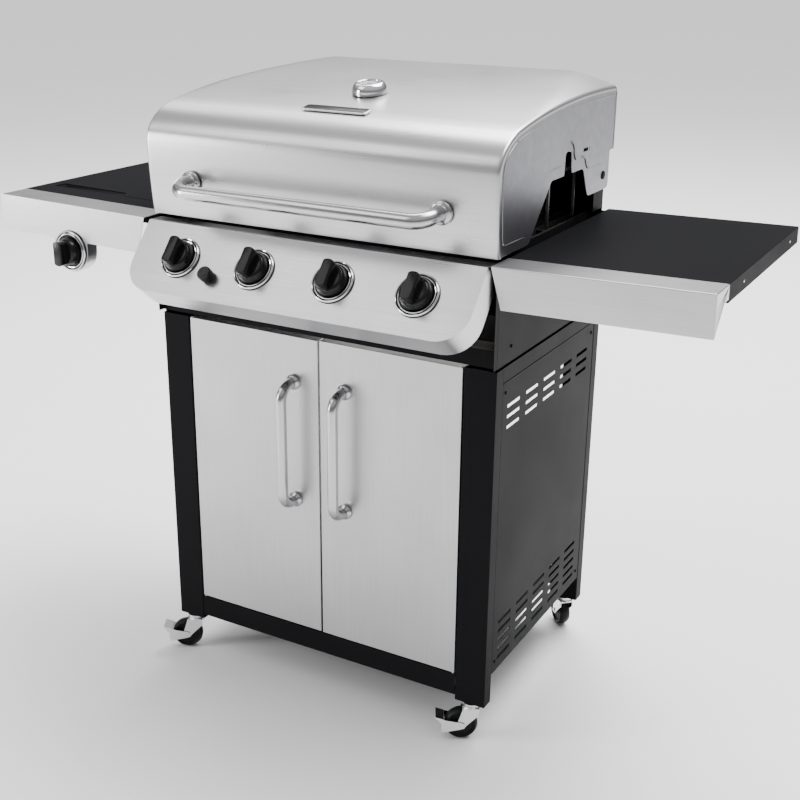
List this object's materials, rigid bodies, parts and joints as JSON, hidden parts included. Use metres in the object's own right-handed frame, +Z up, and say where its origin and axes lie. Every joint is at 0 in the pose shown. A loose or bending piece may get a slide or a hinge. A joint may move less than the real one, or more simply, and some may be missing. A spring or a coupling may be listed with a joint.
{
  "type": "gas barbecue grill",
  "caption": "Cabinet gas barbecue on casters: hinged hood, slanted control panel with turning knobs, double doors, and side shelves, one with a lidded side burner.",
  "frame": {"origin": "middle of the grill's footprint, on the floor under its wheels", "axes": "+Z up, front with the doors and knobs towards -Y, +X to the right seen from the front"},
  "size_m": [1.34, 0.5974, 1.1051],
  "materials": {
    "stainless": "brushed",
    "chrome": "polished",
    "handle_steel": "satin",
    "grey_steel": "satin",
    "knob_plastic": "gloss",
    "wheel_plastic": "matte",
    "cast_iron": "matte",
    "inner_steel": "satin",
    "aluminium": "satin",
    "brass": "satin",
    "enamel": "gloss enamel",
    "plate_black": "gloss",
    "black_paint": "satin"
  },
  "bodies": {
    "cabinet": {"post_front_left": "black_paint", "post_front_right": "black_paint", "post_rear_left": "black_paint", "post_rear_right": "black_paint", "rail_bottom_front": "black_paint", "floor_shelf": "black_paint", "side_panel_left": "black_paint", "side_panel_right": "black_paint", "head_frame": "black_paint", "firebox": "enamel", "burner_1": "inner_steel", "burner_2": "inner_steel", "burner_3": "inner_steel", "burner_4": "inner_steel", "heat_plate": "inner_steel", "grate_left": "cast_iron", "grate_right": "cast_iron", "warming_rack": "inner_steel", "rear_wall": "enamel", "control_panel": "stainless", "bezel_1": "chrome", "bezel_2": "chrome", "bezel_3": "chrome", "bezel_4": "chrome", "manifold": "aluminium", "shelf_deck_left": "black_paint", "shelf_deck_right": "black_paint", "shelf_front_left": "stainless", "shelf_front_right": "stainless", "side_burner": "brass", "side_grate": "cast_iron"},
    "hood": {"hood_skin": "stainless", "hood_end_left": "grey_steel", "hood_end_right": "grey_steel", "hood_handle": "handle_steel", "thermometer": "chrome", "name_plate": "plate_black"},
    "left_door": {"door_left": "stainless", "door_handle_left": "chrome"},
    "right_door": {"door_right": "stainless", "door_handle_right": "chrome"},
    "drip_tray": {"grease_tray": "inner_steel"},
    "burner_lid": {"side_lid": "black_paint"},
    "side_burner_knob": {"side_knob": "knob_plastic"},
    "igniter": {"igniter_button": "knob_plastic"},
    "knob_1": {"knob_1": "knob_plastic"},
    "knob_2": {"knob_2": "knob_plastic"},
    "knob_3": {"knob_3": "knob_plastic"},
    "knob_4": {"knob_4": "knob_plastic"},
    "fork_front_left": {"caster_front_left": "chrome"},
    "wheel_front_left": {"wheel_front_left": "wheel_plastic"},
    "brake_front_left": {"brake_front_left": "chrome"},
    "fork_front_right": {"caster_front_right": "chrome"},
    "wheel_front_right": {"wheel_front_right": "wheel_plastic"},
    "brake_front_right": {"brake_front_right": "chrome"},
    "fork_rear_left": {"caster_rear_left": "chrome"},
    "wheel_rear_left": {"wheel_rear_left": "wheel_plastic"},
    "fork_rear_right": {"caster_rear_right": "chrome"},
    "wheel_rear_right": {"wheel_rear_right": "wheel_plastic"}
  },
  "joints": [
    {"name": "hood_hinge", "type": "hinge", "parent": "cabinet", "child": "hood", "pos_m": [0, 0.23829, 0.9325], "axis": [-1, 0, 0], "range_deg": [0, 88]},
    {"name": "left_door_hinge", "type": "hinge", "parent": "cabinet", "child": "left_door", "pos_m": [-0.2673, -0.18001, 0.4], "axis": [0, 0, -1], "range_deg": [0, 110]},
    {"name": "right_door_hinge", "type": "hinge", "parent": "cabinet", "child": "right_door", "pos_m": [0.2673, -0.18001, 0.4], "axis": [0, 0, 1], "range_deg": [0, 110]},
    {"name": "drip_tray_slide", "type": "slide", "parent": "cabinet", "child": "drip_tray", "axis": [0, 1, 0], "range_m": [0, 0.41]},
    {"name": "burner_lid_hinge", "type": "hinge", "parent": "cabinet", "child": "burner_lid", "pos_m": [-0.49496, 0.25849, 0.86891], "axis": [-0.9998, 0, 0.0188], "range_deg": [0, 100]},
    {"name": "side_burner_turn", "type": "hinge", "parent": "cabinet", "child": "side_burner_knob", "pos_m": [-0.50504, -0.22161, 0.78528], "axis": [0, -1, 0], "range_deg": [0, 220]},
    {"name": "igniter_push", "type": "slide", "parent": "cabinet", "child": "igniter", "axis": [0, 0.766, -0.6428], "range_m": [0, 0.004], "stiffness_N_per_m": 400, "springref_m": -0.002},
    {"name": "burner_1_turn", "type": "hinge", "parent": "cabinet", "child": "knob_1", "pos_m": [-0.22575, -0.25468, 0.81392], "axis": [0, -0.766, 0.6428], "range_deg": [0, 220]},
    {"name": "burner_2_turn", "type": "hinge", "parent": "cabinet", "child": "knob_2", "pos_m": [-0.07525, -0.25468, 0.81392], "axis": [0, -0.766, 0.6428], "range_deg": [0, 220]},
    {"name": "burner_3_turn", "type": "hinge", "parent": "cabinet", "child": "knob_3", "pos_m": [0.07525, -0.25468, 0.81392], "axis": [0, -0.766, 0.6428], "range_deg": [0, 220]},
    {"name": "burner_4_turn", "type": "hinge", "parent": "cabinet", "child": "knob_4", "pos_m": [0.22575, -0.25468, 0.81392], "axis": [0, -0.766, 0.6428], "range_deg": [0, 220]},
    {"name": "front_left_swivel", "type": "hinge", "parent": "cabinet", "child": "fork_front_left", "pos_m": [-0.3015, -0.17101, 0.0735], "axis": [0, 0, 1], "continuous": true},
    {"name": "front_left_roll", "type": "hinge", "parent": "fork_front_left", "child": "wheel_front_left", "pos_m": [-0.31768, -0.17998, 0.0295], "axis": [0.4848, -0.8746, 0], "continuous": true},
    {"name": "front_left_brake", "type": "hinge", "parent": "fork_front_left", "child": "brake_front_left", "pos_m": [-0.31768, -0.17998, 0.0295], "axis": [0.4848, -0.8746, 0], "range_deg": [0, 16]},
    {"name": "front_right_swivel", "type": "hinge", "parent": "cabinet", "child": "fork_front_right", "pos_m": [0.3015, -0.17101, 0.0735], "axis": [0, 0, 1], "continuous": true},
    {"name": "front_right_roll", "type": "hinge", "parent": "fork_front_right", "child": "wheel_front_right", "pos_m": [0.28532, -0.17998, 0.0295], "axis": [0.4848, -0.8746, 0], "continuous": true},
    {"name": "front_right_brake", "type": "hinge", "parent": "fork_front_right", "child": "brake_front_right", "pos_m": [0.28532, -0.17998, 0.0295], "axis": [0.4848, -0.8746, 0], "range_deg": [0, 16]},
    {"name": "rear_left_swivel", "type": "hinge", "parent": "cabinet", "child": "fork_rear_left", "pos_m": [-0.3015, 0.25899, 0.0735], "axis": [0, 0, 1], "continuous": true},
    {"name": "rear_left_roll", "type": "hinge", "parent": "fork_rear_left", "child": "wheel_rear_left", "pos_m": [-0.31752, 0.26824, 0.0295], "axis": [-0.5, -0.866, 0], "continuous": true},
    {"name": "rear_right_swivel", "type": "hinge", "parent": "cabinet", "child": "fork_rear_right", "pos_m": [0.3015, 0.25899, 0.0735], "axis": [0, 0, 1], "continuous": true},
    {"name": "rear_right_roll", "type": "hinge", "parent": "fork_rear_right", "child": "wheel_rear_right", "pos_m": [0.28888, 0.27252, 0.0295], "axis": [-0.7314, -0.682, 0], "continuous": true}
  ]
}
